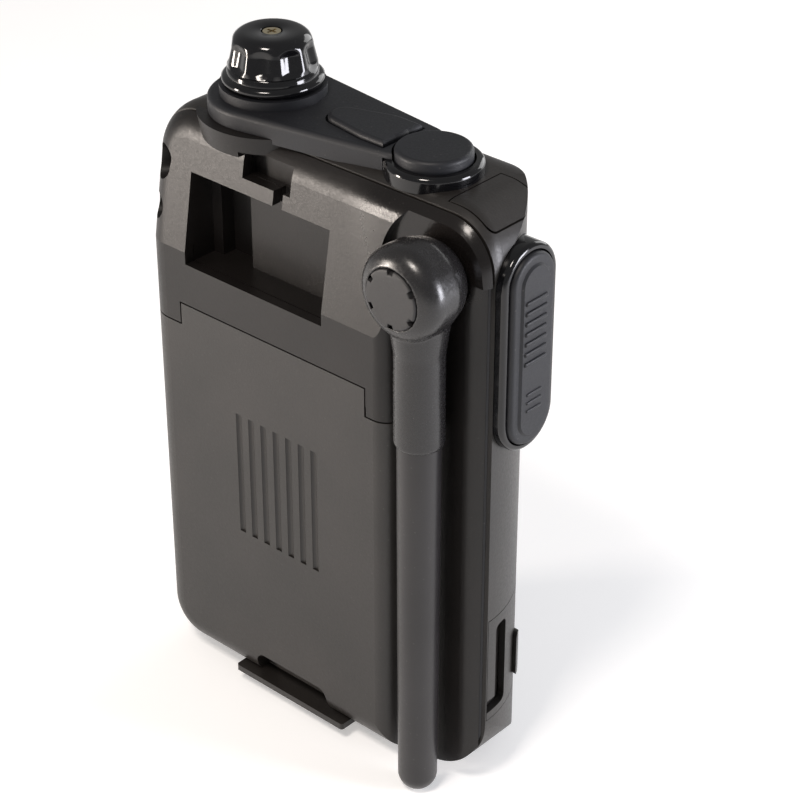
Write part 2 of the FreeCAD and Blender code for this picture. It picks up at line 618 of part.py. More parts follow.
def talk_key():
    """Rubber talk key with slanted grip ridges."""
    gap = TALK_BEZEL_WALL + 0.25
    key = stadium(TALK_HALF_WIDTH - gap, TALK_FACE_X, TALK_BACK_X - 2.3, TALK_Y,
                  TALK_LOW_Z + gap, TALK_HIGH_Z - gap)
    rim = [e for e in key.Edges if e.BoundBox.XMax < TALK_FACE_X + 0.01]
    key = key.makeFillet(0.9, rim)
    stem_z = (TALK_LOW_Z + TALK_HIGH_Z) / 2
    key = key.fuse(rod_x(1.3, TALK_BACK_X - 3, TALK_BACK_X - 0.8, TALK_Y, stem_z))
    for index in range(TALK_RIDGES):
        z = TALK_RIDGE_LOW_Z + index * TALK_RIDGE_PITCH
        ridge = rounded_block(TALK_FACE_X - 0.3, TALK_FACE_X + 0.4, -2.2, 2.2, -0.42, 0.42, 0.3, Y_AXIS)
        ridge.rotate(Vector(0, 0, 0), X_AXIS, -TALK_RIDGE_TILT)
        ridge.translate(Vector(0, TALK_Y - 0.6, z))
        key = key.fuse(ridge)
    return key.removeSplitter()


def antenna_head():
    """Round swivel head that flows into the antenna's neck."""
    across = Vector(1, 0, 0)
    base = Vector(PIVOT_X, HEAD_BACK, PIVOT_Z)
    dome = []
    rise = CAP_Y - HEAD_BACK
    for step in range(7):
        turn = math.radians(15 * step)
        radius = CAP_R + 0.7 + (HEAD_R - CAP_R - 0.7) * math.cos(turn)
        dome.append((radius, rise - 3.6 + 3.6 * math.sin(turn)))
    profile = [(0, 0), (HEAD_R - 1.6, 0), (HEAD_R - 0.7, 1.5), (HEAD_R - 0.1, 3.4)] + dome + [(0, rise)]
    head = turned(profile, base, Y_AXIS, across)
    neck = Part.makeCone(SLEEVE_R, HEAD_R - 0.9, 6.2, Vector(PIVOT_X, ROD_Y, PIVOT_Z - 10.2), Z_AXIS)
    neck = neck.common(box(-60, 0, HEAD_BACK, CAP_Y - 0.6, 0, 100))
    sleeve = rod_z(SLEEVE_R, SLEEVE_END_Z, PIVOT_Z - 3, PIVOT_X, ROD_Y)
    head = head.fuse([neck, sleeve])
    head = head.cut(rod_y(CAP_R + 0.15, CAP_Y - 1.0, CAP_Y + 2, PIVOT_X, PIVOT_Z))
    head = head.cut(rod_y(PIVOT_R, 0, ROD_Y + 2.5, PIVOT_X, PIVOT_Z))
    head = head.cut(rod_z(ROD_TOP_R - 0.6, SLEEVE_END_Z - 1, SLEEVE_END_Z + 8, PIVOT_X, ROD_Y))
    return head.removeSplitter()


def antenna_cap():
    """Disc that closes the swivel head, with six driver notches around it."""
    cap = rod_y(CAP_R, CAP_Y - 1.0, CAP_Y + 0.25, PIVOT_X, PIVOT_Z)
    rim = [e for e in cap.Edges if e.BoundBox.YMin > CAP_Y + 0.2]
    cap = cap.makeFillet(0.2, rim)
    for index in range(6):
        turn = math.radians(60 * index + 30)
        x = PIVOT_X + CAP_R * math.cos(turn)
        z = PIVOT_Z + CAP_R * math.sin(turn)
        cap = cap.cut(rod_y(0.45, CAP_Y - 0.7, CAP_Y + 2, x, z))
    return cap


def antenna_rod():
    """Flexible rod, slightly tapered, with a round tip and a plug that fits the sleeve."""
    length = SLEEVE_END_Z - ROD_TIP_Z - ROD_TIP_R
    rod = Part.makeCone(ROD_TIP_R, ROD_TOP_R, length, Vector(PIVOT_X, ROD_Y, ROD_TIP_Z + ROD_TIP_R), Z_AXIS)
    tip = Part.makeSphere(ROD_TIP_R, Vector(PIVOT_X, ROD_Y, ROD_TIP_Z + ROD_TIP_R))
    plug = rod_z(ROD_TOP_R - 0.65, SLEEVE_END_Z - 2, SLEEVE_END_Z + 7.5, PIVOT_X, ROD_Y)
    return rod.fuse([tip, plug]).removeSplitter()


def antenna_pivot():
    """Metal shaft the antenna turns on, with a groove for its spring clip."""
    shaft = rod_y(PIVOT_R, 4.3, ROD_Y + 2.4, PIVOT_X, PIVOT_Z)
    ring = rod_y(PIVOT_R + 1, 4.45, 4.92, PIVOT_X, PIVOT_Z).cut(rod_y(PIVOT_R - 0.5, 4, 5, PIVOT_X, PIVOT_Z))
    return shaft.cut(ring)


def antenna_clip():
    """Spring clip that holds the antenna shaft behind the wave washer."""
    clip = rod_y(PIVOT_R + 1.3, 4.5, 4.87, PIVOT_X, PIVOT_Z)
    clip = clip.cut(rod_y(PIVOT_R - 0.45, 4, 5, PIVOT_X, PIVOT_Z))
    return clip.cut(box(PIVOT_X - 1.2, PIVOT_X + 1.2, 4, 5, PIVOT_Z, PIVOT_Z + 5))


def antenna_washer():
    """Washer that presses the antenna against its bush."""
    washer = rod_y(PIVOT_R + 1.4, 4.92, 5.4, PIVOT_X, PIVOT_Z)
    return washer.cut(rod_y(PIVOT_R + 0.01, 4, 6, PIVOT_X, PIVOT_Z))


def antenna_bush():
    """Brass bush pressed in the rear housing."""
    bush = rod_y(BUSH_R, STRIP_Y - 2.5, STRIP_Y + 0.1, PIVOT_X, PIVOT_Z)
    return bush.cut(rod_y(PIVOT_R + RUNNING_GAP, 0, 20, PIVOT_X, PIVOT_Z))


def volume_knob():
    """Fluted knob on a two-step skirt."""
    base = Vector(KNOB_X, KNOB_Y, KNOB_SKIRT_Z)
    top = KNOB_TOP - KNOB_SKIRT_Z
    skirt = [(0, 0), (6.6, 0), (6.75, 0.15), (6.75, 0.9), (6.5, 1.2), (6.05, 1.25), (6.05, 1.9), (5.8, 2.2)]
    body = [(5.65, 2.3), (5.4, top - 1.3), (5.1, top - 0.6), (4.3, top - 0.1), (3.2, top), (0, top)]
    profile = skirt + body
    knob = turned(profile, base, Z_AXIS, X_AXIS)
    for index in range(KNOB_FLUTES):
        turn = math.radians(360 * index / KNOB_FLUTES)
        x = KNOB_X + 7.6 * math.cos(turn)
        y = KNOB_Y + 7.6 * math.sin(turn)
        flute = Part.makeCone(2.5, 2.75, top + 2, Vector(x, y, KNOB_SKIRT_Z + 2.6), Z_AXIS)
        knob = knob.cut(flute)
    knob = knob.cut(rod_z(3.02, KNOB_SKIRT_Z - 1, KNOB_TOP - 2.4, KNOB_X, KNOB_Y))
    return knob.cut(rod_z(KNOB_SCREW_R + 0.2, KNOB_TOP - 1.1, KNOB_TOP + 1, KNOB_X, KNOB_Y)).removeSplitter()


def knob_screw():
    """Cross-head screw in the top of the knob."""
    head = rod_z(KNOB_SCREW_R, KNOB_TOP - 1.05, KNOB_TOP - 0.15, KNOB_X, KNOB_Y)
    for half_x, half_y in ((0.8, 0.18), (0.18, 0.8)):
        head = head.cut(box(KNOB_X - half_x, KNOB_X + half_x, KNOB_Y - half_y, KNOB_Y + half_y,
                            KNOB_TOP - 0.6, KNOB_TOP + 1))
    return head


def control_shaft():
    """Shaft of the volume control, pressed in the knob."""
    lower = rod_z(2.95, 80.2, KNOB_SKIRT_Z, KNOB_X, KNOB_Y)
    return lower.fuse(rod_z(3.0, KNOB_SKIRT_Z, KNOB_TOP - 2.5, KNOB_X, KNOB_Y)).removeSplitter()


def control_body():
    """Rotary volume control with its threaded bushing."""
    case = box(KNOB_X - 5.5, KNOB_X + 5.5, -5.2, 5.2, 79.2, 83.8)
    bushing = rod_z(3.5, 83, 88.2, KNOB_X, KNOB_Y)
    return case.fuse(bushing).cut(rod_z(3.0, 80.0, 90, KNOB_X, KNOB_Y)).removeSplitter()


def control_nut():
    """Hexagonal nut that clamps the volume control to the case."""
    corners = []
    for index in range(6):
        turn = math.radians(60 * index)
        corners.append(Vector(KNOB_X + 5.0 * math.cos(turn), KNOB_Y + 5.0 * math.sin(turn), HEIGHT + 0.02))
    return prism(corners, Vector(0, 0, 1.9)).cut(rod_z(3.52, 80, 90, KNOB_X, KNOB_Y))


def round_key_plan(grow, z0, z1):
    """Plan of the round top key: a disc with one side cut straight."""
    disc = rod_z(ROUND_KEY_R + grow, z0, z1, ROUND_KEY_X, ROUND_KEY_Y)
    return disc.common(box(-40, KEY_SPLIT_X - 0.2 + grow, -20, 20, z0, z1))


def side_key_plan(grow, z0, z1):
    """Plan of the other top key, which narrows towards the knob."""
    wide = tapered_plan(-4.6, 0.1, 3.7 + grow, 1.2, 0.6, 2.3 + grow, z0, z1)
    square = box(KEY_SPLIT_X + 0.2 - grow, -4.6, 0.1 - 3.7 - grow, 0.1 + 3.7 + grow, z0, z1)
    return wide.fuse(square).removeSplitter()


def key_stems():
    """X and Y of the stems under the top keys."""
    return [(ROUND_KEY_X, ROUND_KEY_Y), (-4.2, 0.2)]


def top_key(plan, stem):
    """Rubber top key: softly edged cap on a stem."""
    cap = plan(0, KEY_FLOOR, KEY_TOP)
    rim = [e for e in cap.Edges if e.BoundBox.ZMin > KEY_TOP - 0.01]
    cap = cap.makeFillet(0.6, rim)
    return cap.fuse(rod_z(KEY_STEM_R, 82.9, KEY_FLOOR + 0.5, stem[0], stem[1])).removeSplitter()


def top_pad(block):
    """Rubber plinth under the knob and the top keys, which laps over the rear edge."""
    pad = tapered_plan(KNOB_X, KNOB_Y, PAD_KNOB_R, PAD_TAIL_X, PAD_TAIL_Y, PAD_TAIL_R, PAD_LOW, PAD_TOP)
    rim = [e for e in pad.Edges if e.BoundBox.ZMin > PAD_TOP - 0.01]
    pad = pad.makeFillet(0.7, rim)
    pad = pad.fuse(rod_z(7.1, PAD_TOP - 1, KNOB_SKIRT_Z - 0.3, KNOB_X, KNOB_Y))
    pad = pad.cut(rod_z(5.4, 80, 95, KNOB_X, KNOB_Y))
    pad = pad.cut(side_key_plan(KEY_GAP, 80, 95)).cut(round_key_plan(KEY_GAP, 80, 95))
    pad = pad.cut(rod_z(PLINTH_R + 0.05, 80, PLINTH_TOP + 0.02, ROUND_KEY_X, ROUND_KEY_Y))
    pad = pad.cut(rod_z(ROUND_KEY_R + KEY_GAP, 80, 95, ROUND_KEY_X, ROUND_KEY_Y))
    pad = pad.cut(rod_z(BOSS_TOP_R + 0.1, 80, BOSS_TOP + 0.05, KNOB_X, KNOB_Y))
    return largest_solid(pad.cut(block).removeSplitter())


def largest_solid(shape):
    """Keeps the main solid and drops slivers left by a cut."""
    return max(shape.Solids, key=lambda solid: solid.Volume)


def key_plinth(block):
    """Glossy ring under the round top key."""
    ring = rod_z(PLINTH_R, PAD_LOW, PLINTH_TOP, ROUND_KEY_X, ROUND_KEY_Y)
    rim = [e for e in ring.Edges if e.BoundBox.ZMin > PLINTH_TOP - 0.01]
    ring = ring.makeFillet(0.7, rim)
    ring = ring.cut(rod_z(ROUND_KEY_R + KEY_GAP, 80, 95, ROUND_KEY_X, ROUND_KEY_Y))
    ring = ring.cut(side_key_plan(KEY_GAP, 80, 95))
    return largest_solid(ring.cut(block))


def jack_block(grow):
    """Outside of the headset jack, grown on every side."""
    outer = JACK_R + JACK_WALL + grow
    return box(JACK_X - outer, JACK_X + outer, JACK_Y - outer, JACK_Y + outer,
               JACK_MOUTH_Z - JACK_BORE - 1 - grow, JACK_MOUTH_Z + grow)


def headset_jack():
    """Audio jack with its bore open towards the top of the case."""
    return jack_block(0).cut(rod_z(JACK_R, JACK_MOUTH_Z - JACK_BORE, JACK_MOUTH_Z + 1, JACK_X, JACK_Y))


def display_window():
    """Clear lens that follows the crowned front."""
    skin = case_block(0.2).cut(case_block(1.2))
    return skin.common(box(-DISPLAY_HALF_WIDTH - 0.85, DISPLAY_HALF_WIDTH + 0.85, -20, -4,
                           DISPLAY_LOW_Z - 0.85, DISPLAY_HIGH_Z + 0.85))


def main_board():
    """Circuit board with clearance holes for the two screws that pass through it."""
    board = box(-17.2, 17.2, BOARD_Y - BOARD_THICKNESS / 2, BOARD_Y + BOARD_THICKNESS / 2, 5, 78.5)
    for z in BAY_SCREW_Z:
        board = board.cut(rod_y(1.3, -10, 0, BAY_SCREW_X, z))
    return board


def case_screws():
    """Four screws that hold the shells together."""
    screws = []
    for x, z in screw_places():
        seat = BAY_FLOOR_Y + BAY_WALL if x < 0 else 6.5
        tip = seat - 5.2
        shank = rod_y(0.85, tip, seat + 0.2, x, z)
        head = rod_y(1.7, seat + 0.01, seat + 0.7, x, z)
        cross = box(x - 0.9, x + 0.9, seat + 0.35, seat + 1, z - 0.2, z + 0.2)
        screws.append(head.fuse(shank).cut(cross).removeSplitter())
    return Part.makeCompound(screws)


def speaker():
    """Small round loudspeaker with its magnet."""
    frame = rod_y(SPEAKER_R, -9.05, -8.1, 0, SPEAKER_Z)
    return frame.fuse(rod_y(SPEAKER_R - 3.2, -8.1, -7.1, 0, SPEAKER_Z)).removeSplitter()


def base_stud():
    """Small stud under the lip that locates the radio in its cradle."""
    stud = rod_z(1.1, -0.9, 0.15, 4.4, 9.4)
    rim = [e for e in stud.Edges if e.BoundBox.ZMax < -0.85]
    return stud.makeFillet(0.4, rim)


def build():
    """Every sub-part by node name."""
    block = case_block(0.0)
    cavity = case_block(WALL)
    clear_cavity = case_block(WALL + 0.15)
    cover_z = BAY_HIGH_Z - BAY_WALL
    nodes = {
        "rear_housing": rear_housing(block, cavity, clear_cavity),
        "front_housing": front_housing(block, cavity, clear_cavity),
        "housing_gasket": housing_gasket(),
        "battery_cover": battery_cover(block, cavity),
        "battery_pack": rounded_block(-11.7, 21.2, -2.7, 9.3, RECESS_TOP + 1.8, 54.2, 2.0, Z_AXIS),
        "battery_contacts": Part.makeCompound([box(x, x + 2.4, 1.0, 6.0, cover_z - 0.75, cover_z - 0.05)
                                               for x in (-2.0, 3.5, 9.0)]),
        "jack_cover": jack_cover(),
        "headset_jack": headset_jack(),
        "charger_insert_left": charger_insert(1),
        "charger_insert_right": charger_insert(-1),
        "talk_bezel": talk_bezel(),
        "talk_key": talk_key(),
        "talk_switch": box(TALK_BACK_X + 0.3, TALK_BACK_X + 2.8, TALK_Y - 1.7, TALK_Y + 1.7, 65.5, 69.0),
        "antenna_head": antenna_head(),
        "antenna_cap": antenna_cap(),
        "antenna_rod": antenna_rod(),
        "antenna_pivot": antenna_pivot(),
        "antenna_clip": antenna_clip(),
        "antenna_washer": antenna_washer(),
        "antenna_bush": antenna_bush(),
        "volume_knob": volume_knob(),
        "knob_screw": knob_screw(),
        "control_shaft": control_shaft(),
        "control_body": control_body(),
        "control_nut": control_nut(),
        "top_pad": top_pad(block),
        "key_plinth": key_plinth(block),
        "round_top_key": top_key(round_key_plan, key_stems()[0]),
        "side_top_key": top_key(side_key_plan, key_stems()[1]),
        "top_switches": Part.makeCompound([box(x - 1.8, x + 1.8, y - 1.8, y + 1.8, 80.2, 82.2)
                                           for x, y in key_stems()]),
        "display_window": display_window(),
        "display_panel": box(-13.2, 13.2, -8.2, -7.4, DISPLAY_LOW_Z + 0.6, DISPLAY_HIGH_Z - 0.6),
        "keypad_mat": box(-16.2, 16.2, -7.5, -7.0, FRONT_KEY_Z - 3.6, FRONT_KEY_Z + 3.6),
        "main_board": main_board(),
        "shield_can": box(-12, 12, BOARD_Y + 0.52, BAY_FLOOR_Y - 0.1, 9, 50),
        "speaker": speaker(),
        "speaker_mesh": rod_y(SPEAKER_R - 0.6, -9.3, -9.1, 0, SPEAKER_Z),
        "microphone": rod_y(2.0, -8.3, -6.95, MIC_X, MIC_Z),
        "case_screws": case_screws(),
        "charging_contacts": Part.makeCompound([rod_z(1.45, 0.1, 2.4, x, CONTACT_Y) for x in CONTACT_X]),
        "base_stud": base_stud(),
    }
    for index, x in enumerate(front_key_places()):
        nodes["front_key_%d" % (index + 1)] = front_key(x)
    return nodes


def export():
    """Writes one STEP file per node."""
    os.makedirs("parts", exist_ok=True)
    for name, shape in build().items():
        print("%-22s solids %d volume %.1f" % (name, len(shape.Solids), shape.Volume))
        shape.exportStep("parts/%s.step" % name)


export()
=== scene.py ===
"""Visual model of a pocket two-way radio with a folding antenna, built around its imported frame."""

import logging
import math
from dataclasses import dataclass
from enum import Enum
from typing import Any, Sequence

import bmesh
import bpy
from mathutils import Matrix, Vector


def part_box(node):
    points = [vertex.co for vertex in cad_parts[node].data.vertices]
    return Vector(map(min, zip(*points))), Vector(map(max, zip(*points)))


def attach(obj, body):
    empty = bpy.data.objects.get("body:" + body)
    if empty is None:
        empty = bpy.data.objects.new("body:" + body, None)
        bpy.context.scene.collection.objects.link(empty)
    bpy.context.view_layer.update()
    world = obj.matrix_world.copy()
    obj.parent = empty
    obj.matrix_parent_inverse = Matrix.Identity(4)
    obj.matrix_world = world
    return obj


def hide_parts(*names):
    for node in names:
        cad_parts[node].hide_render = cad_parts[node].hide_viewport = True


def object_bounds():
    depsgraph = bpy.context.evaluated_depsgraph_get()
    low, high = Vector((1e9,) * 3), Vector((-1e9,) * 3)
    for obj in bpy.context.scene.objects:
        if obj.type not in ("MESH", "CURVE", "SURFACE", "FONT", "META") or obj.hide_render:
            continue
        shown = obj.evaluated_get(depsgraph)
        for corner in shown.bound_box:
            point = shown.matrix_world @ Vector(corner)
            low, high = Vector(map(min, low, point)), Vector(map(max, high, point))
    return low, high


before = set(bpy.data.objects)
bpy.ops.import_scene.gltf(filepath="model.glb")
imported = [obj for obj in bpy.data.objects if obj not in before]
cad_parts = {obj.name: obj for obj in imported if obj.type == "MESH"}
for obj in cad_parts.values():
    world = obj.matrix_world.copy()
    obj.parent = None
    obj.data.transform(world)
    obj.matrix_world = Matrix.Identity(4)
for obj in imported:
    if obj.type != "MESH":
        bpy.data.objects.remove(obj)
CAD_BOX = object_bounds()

LOG = logging.getLogger("radio")
MM = 0.001
DUST_COLOUR = "8d8a86"
DUST_SPACING_MM = 1.3
SMUDGE_COLOUR = "3c4042"


# ---------------------------------------------------------------- materials


def linear(code: str) -> tuple[float, float, float, float]:
    """Turn an sRGB hex colour to linear light.

    Args:
        code: six hex digits, such as "1b1a19".

    Returns:
        Linear red, green and blue, and an alpha of 1.
    """
    parts = [int(code[i:i + 2], 16) / 255 for i in (0, 2, 4)]
    red, green, blue = (c / 12.92 if c <= 0.04045 else ((c + 0.055) / 1.055) ** 2.4 for c in parts)
    return red, green, blue, 1.0


def add_node(tree: bpy.types.NodeTree, kind: str, inputs: dict[Any, Any] | None = None,
             **settings: Any) -> bpy.types.Node:
    """Add one node with its settings, values and links.

    Args:
        tree: the node tree to add to.
        kind: the node's type, without its leading "ShaderNode".
        inputs: a value or another node's output for each named or numbered input.
        settings: the node's own properties.

    Returns:
        The new node.
    """
    node = tree.nodes.new("ShaderNode" + kind)
    for key, value in settings.items():
        setattr(node, key, value)
    for key, value in (inputs or {}).items():
        if isinstance(value, bpy.types.NodeSocket):
            tree.links.new(value, node.inputs[key])
        else:
            node.inputs[key].default_value = value
    return node


def mix_colour(tree: bpy.types.NodeTree, share: bpy.types.NodeSocket, first: Any,
               second: Any) -> bpy.types.NodeSocket:
    """Add a node that mixes two colours.

    Args:
        tree: the node tree to add to.
        share: how much of the second colour to take.
        first: a colour, or another node's output.
        second: a colour, or another node's output.

    Returns:
        The mixed colour's output.
    """
    node = add_node(tree, "Mix", {"Factor": share, 6: first, 7: second}, data_type="RGBA")
    return node.outputs[2]


def remap(tree: bpy.types.NodeTree, value: bpy.types.NodeSocket, limits: tuple[float, float],
          results: tuple[float, float]) -> bpy.types.NodeSocket:
    """Add a node that stretches a value from one span to another and stops at its ends.

    Args:
        tree: the node tree to add to.
        value: the value to stretch.
        limits: the span to read.
        results: what its two ends become.

    Returns:
        The stretched value's output.
    """
    node = add_node(tree, "MapRange", {"Value": value, "From Min": limits[0], "From Max": limits[1],
                                       "To Min": results[0], "To Max": results[1]})
    return node.outputs["Result"]


def scale_of(size_mm: float) -> float:
    """Work out the texture scale for coordinates in metres.

    Args:
        size_mm: how wide the pattern's features are, in millimetres.

    Returns:
        The scale.
    """
    return 1.0 / (size_mm * MM)


@dataclass(frozen=True)
class Finish:
    """A surface finish: what the material is and how the surface was made."""

    name: str
    colour: str
    roughness: float

    def build(self) -> bpy.types.Material:
        """Make the Blender material.

        Returns:
            The new material.
        """
        material = bpy.data.materials.new(self.name)
        material.use_nodes = True
        tree = material.node_tree
        tree.nodes.clear()
        shader = add_node(tree, "BsdfPrincipled")
        add_node(tree, "OutputMaterial", {"Surface": shader.outputs["BSDF"]})
        coordinates = add_node(tree, "TexCoord").outputs["Object"]
        self.wire(tree, shader, coordinates)
        return material

    def wire(self, tree: bpy.types.NodeTree, shader: bpy.types.Node,
             place: bpy.types.NodeSocket) -> None:
        """Wire the finish's nodes to the shader.

        Args:
            tree: the material's node tree.
            shader: its Principled BSDF.
            place: the Object coordinates.
        """
        raise NotImplementedError


@dataclass(frozen=True)
class Moulded(Finish):
    """Injection-moulded plastic or rubber: a grained skin with faint flow marks and dust."""

    pale: str = "2a2826"
    grain_mm: float = 0.35
    grain_depth_mm: float = 0.012
    roughness_spread: float = 0.07
    flow_mm: float = 14.0
    dust: float = 0.0
    ior: float = 1.5
    specular: float = 0.5
    coat: float = 0.0
    polish_at: tuple[float, float, float] | None = None
    polish_reach_mm: float = 15.0
    polish_roughness: float = 0.2

    def wire(self, tree: bpy.types.NodeTree, shader: bpy.types.Node,
             place: bpy.types.NodeSocket) -> None:
        """Wire colour, roughness and grain.

        Args:
            tree: the material's node tree.
            shader: its Principled BSDF.
            place: the Object coordinates.
        """
        flow = add_node(tree, "TexNoise", {"Vector": place, "Scale": scale_of(self.flow_mm), "Detail": 4.0})
        grain = add_node(tree, "TexNoise", {"Vector": place, "Scale": scale_of(self.grain_mm),
                                            "Detail": 3.0, "Roughness": 0.6})
        blotch = remap(tree, flow.outputs["Fac"], (0.3, 0.7), (0.0, 1.0))
        shade = mix_colour(tree, blotch, linear(self.colour), linear(self.pale))
        speck = add_node(tree, "TexVoronoi", {"Vector": place, "Scale": scale_of(DUST_SPACING_MM)},
                         feature="F1")
        fleck = remap(tree, speck.outputs["Distance"], (0.05, 0.12), (self.dust, 0.0))
        dusty = mix_colour(tree, fleck, shade, linear(DUST_COLOUR))
        low = max(self.roughness - self.roughness_spread, 0.02)
        high = self.roughness + self.roughness_spread
        rough = remap(tree, grain.outputs["Fac"], (0.25, 0.75), (low, high))
        if self.polish_at is not None:
            centre = tuple(v * MM for v in self.polish_at)
            away = add_node(tree, "VectorMath", {0: place, 1: centre}, operation="DISTANCE")
            reach = self.polish_reach_mm * MM
            kept = add_node(tree, "MapRange", {"Value": away.outputs["Value"], "From Min": 0.5 * reach,
                                               "From Max": reach}, interpolation_type="SMOOTHSTEP")
            rough = add_node(tree, "Mix", {0: kept.outputs["Result"], 2: self.polish_roughness,
                                           3: rough}).outputs[0]
        bump = add_node(tree, "Bump", {"Height": grain.outputs["Fac"], "Strength": 1.0,
                                       "Distance": self.grain_depth_mm * MM})
        tree.links.new(dusty, shader.inputs["Base Color"])
        tree.links.new(rough, shader.inputs["Roughness"])
        tree.links.new(bump.outputs["Normal"], shader.inputs["Normal"])
        shader.inputs["IOR"].default_value = self.ior
        shader.inputs["Specular IOR Level"].default_value = self.specular
        shader.inputs["Coat Weight"].default_value = self.coat
        shader.inputs["Coat Roughness"].default_value = 0.05


@dataclass(frozen=True)
class Machined(Finish):
    """Turned or drawn metal with fine tool lines along one axis."""

    tarnish: str = "6d6a66"
    line_length_mm: float = 0.96
    line_depth_mm: float = 0.004
    stain_mm: float = 3.0
    along: tuple[float, float, float] = (1.0, 1.0, 12.0)

    def wire(self, tree: bpy.types.NodeTree, shader: bpy.types.Node,
             place: bpy.types.NodeSocket) -> None:
        """Wire tool lines, tarnish and roughness.

        Args:
            tree: the material's node tree.
            shader: its Principled BSDF.
            place: the Object coordinates.
        """
        stretched = add_node(tree, "Mapping", {"Vector": place, "Scale": self.along}).outputs["Vector"]
        lines = add_node(tree, "TexNoise", {"Vector": stretched, "Scale": scale_of(self.line_length_mm),
                                            "Detail": 2.0})
        stain = add_node(tree, "TexNoise", {"Vector": place, "Scale": scale_of(self.stain_mm),
                                            "Detail": 5.0})
        amount = remap(tree, stain.outputs["Fac"], (0.5, 0.8), (0.0, 0.6))
        shade = mix_colour(tree, amount, linear(self.colour), linear(self.tarnish))
        rough = remap(tree, lines.outputs["Fac"], (0.0, 1.0), (self.roughness - 0.08, self.roughness + 0.12))
        bump = add_node(tree, "Bump", {"Height": lines.outputs["Fac"], "Distance": self.line_depth_mm * MM})
        tree.links.new(shade, shader.inputs["Base Color"])
        tree.links.new(rough, shader.inputs["Roughness"])
        tree.links.new(bump.outputs["Normal"], shader.inputs["Normal"])
        shader.inputs["Metallic"].default_value = 1.0


@dataclass(frozen=True)
class ClearWindow(Finish):
    """Polished clear acrylic with a smoke tint and faint wipe marks."""

    ior: float = 1.49
    wipe_mm: float = 6.0
    clearness: float = 0.75

    def wire(self, tree: bpy.types.NodeTree, shader: bpy.types.Node,
             place: bpy.types.NodeSocket) -> None:
        """Wire the wipe marks.

        Args:
            tree: the material's node tree.
            shader: its Principled BSDF.
            place: the Object coordinates.
        """
        long = add_node(tree, "Mapping", {"Vector": place, "Scale": (1.0, 1.0, 5.0)}).outputs["Vector"]
        wipes = add_node(tree, "TexNoise", {"Vector": long, "Scale": scale_of(self.wipe_mm), "Detail": 6.0})
        rough = remap(tree, wipes.outputs["Fac"], (0.4, 0.8), (self.roughness, self.roughness + 0.12))
        tint = mix_colour(tree, wipes.outputs["Fac"], linear(self.colour), linear(SMUDGE_COLOUR))
        tree.links.new(tint, shader.inputs["Base Color"])
        tree.links.new(rough, shader.inputs["Roughness"])
        shader.inputs["IOR"].default_value = self.ior
        shader.inputs["Transmission Weight"].default_value = self.clearness


@dataclass(frozen=True)
class Printed(Finish):
    """A flat sheet with a regular fine pattern: a display's dots, board tracks or a woven mesh."""

    second: str = "8c9489"
    cell_mm: tuple[float, float] = (0.5, 0.5)
    line_share: float = 0.12
    line_depth_mm: float = 0.03
    stain_mm: float = 8.0

    def wire(self, tree: bpy.types.NodeTree, shader: bpy.types.Node,
             place: bpy.types.NodeSocket) -> None:
        """Wire the pattern's cells.

        Args:
            tree: the material's node tree.
            shader: its Principled BSDF.
            place: the Object coordinates.
        """
        upright = add_node(tree, "Mapping", {"Vector": place, "Rotation": (math.pi / 2, 0.0, 0.0)})
        width, height = self.cell_mm
        cells = add_node(tree, "TexBrick", {"Vector": upright.outputs["Vector"], "Scale": 1.0,
                                            "Color1": linear(self.colour), "Color2": linear(self.colour),
                                            "Mortar": linear(self.second), "Brick Width": width * MM,
                                            "Row Height": height * MM,
                                            "Mortar Size": self.line_share * height * MM})
        stain = add_node(tree, "TexNoise", {"Vector": place, "Scale": scale_of(self.stain_mm),
                                            "Detail": 3.0})
        value = remap(tree, stain.outputs["Fac"], (0.0, 1.0), (0.75, 1.2))
        shade = add_node(tree, "HueSaturation", {"Color": cells.outputs["Color"], "Value": value})
        bump = add_node(tree, "Bump", {"Height": cells.outputs["Fac"], "Distance": -self.line_depth_mm * MM})
        rough = remap(tree, stain.outputs["Fac"], (0.0, 1.0), (self.roughness - 0.05, self.roughness + 0.1))
        tree.links.new(shade.outputs["Color"], shader.inputs["Base Color"])
        tree.links.new(rough, shader.inputs["Roughness"])
        tree.links.new(bump.outputs["Normal"], shader.inputs["Normal"])


# Spark-eroded ABS: a warm black that goes soft grey where light skims its grain.
TEXTURED_ABS = Moulded("textured moulded ABS", "171513", 0.42, pale="221f1d", grain_mm=0.38,
                       grain_depth_mm=0.018, dust=0.05)
# The rear shell is the same ABS, rubbed smooth at the corner over the antenna, where it shines. Its base
# colours are darker than the front's: painted shade for the dimmer light on the leaning rear band.
SHELL_ABS = Moulded("moulded ABS rubbed smooth at the corner", "100e0d", 0.40, pale="191615", grain_mm=0.38,
                    grain_depth_mm=0.012, dust=0.03, specular=0.35, polish_at=(-20.0, 10.0, 83.0),
                    polish_reach_mm=15.0, polish_roughness=0.18)
# Polished ABS gives small hard highlights on the knob, the ring and the talk key's frame.
POLISHED_ABS = Moulded("polished moulded ABS", "08080a", 0.10, pale="0d0d0f", grain_mm=1.4,
                       grain_depth_mm=0.0015, dust=0.02)
# Satin nylon of the antenna: broad soft highlights.
SATIN_NYLON = Moulded("satin moulded nylon", "161516", 0.27, pale="1e1d1e", grain_mm=0.5,
                      grain_depth_mm=0.0005, dust=0.0, ior=1.53)
# The cap is left matt from the mould, so it reads as a flat grey disc in the shiny head.
MATT_NYLON = Moulded("matt moulded nylon", "1b1a1b", 0.55, pale="222122", grain_mm=0.3, grain_depth_mm=0.006,
                     dust=0.05, ior=1.53)
# Flexible antenna sleeve: slightly greyer and duller than the head.
SLEEVE_RUBBER = Moulded("moulded polyurethane sleeve", "171516", 0.36, pale="211f20", grain_mm=0.45,
                        grain_depth_mm=0.009, dust=0.06)
# Silicone of the keys and pad: bluish black, matt, and it picks up lint.
KEY_SILICONE = Moulded("moulded silicone rubber", "121317", 0.52, pale="191b20", grain_mm=0.3,
                       grain_depth_mm=0.010, dust=0.10, ior=1.43)
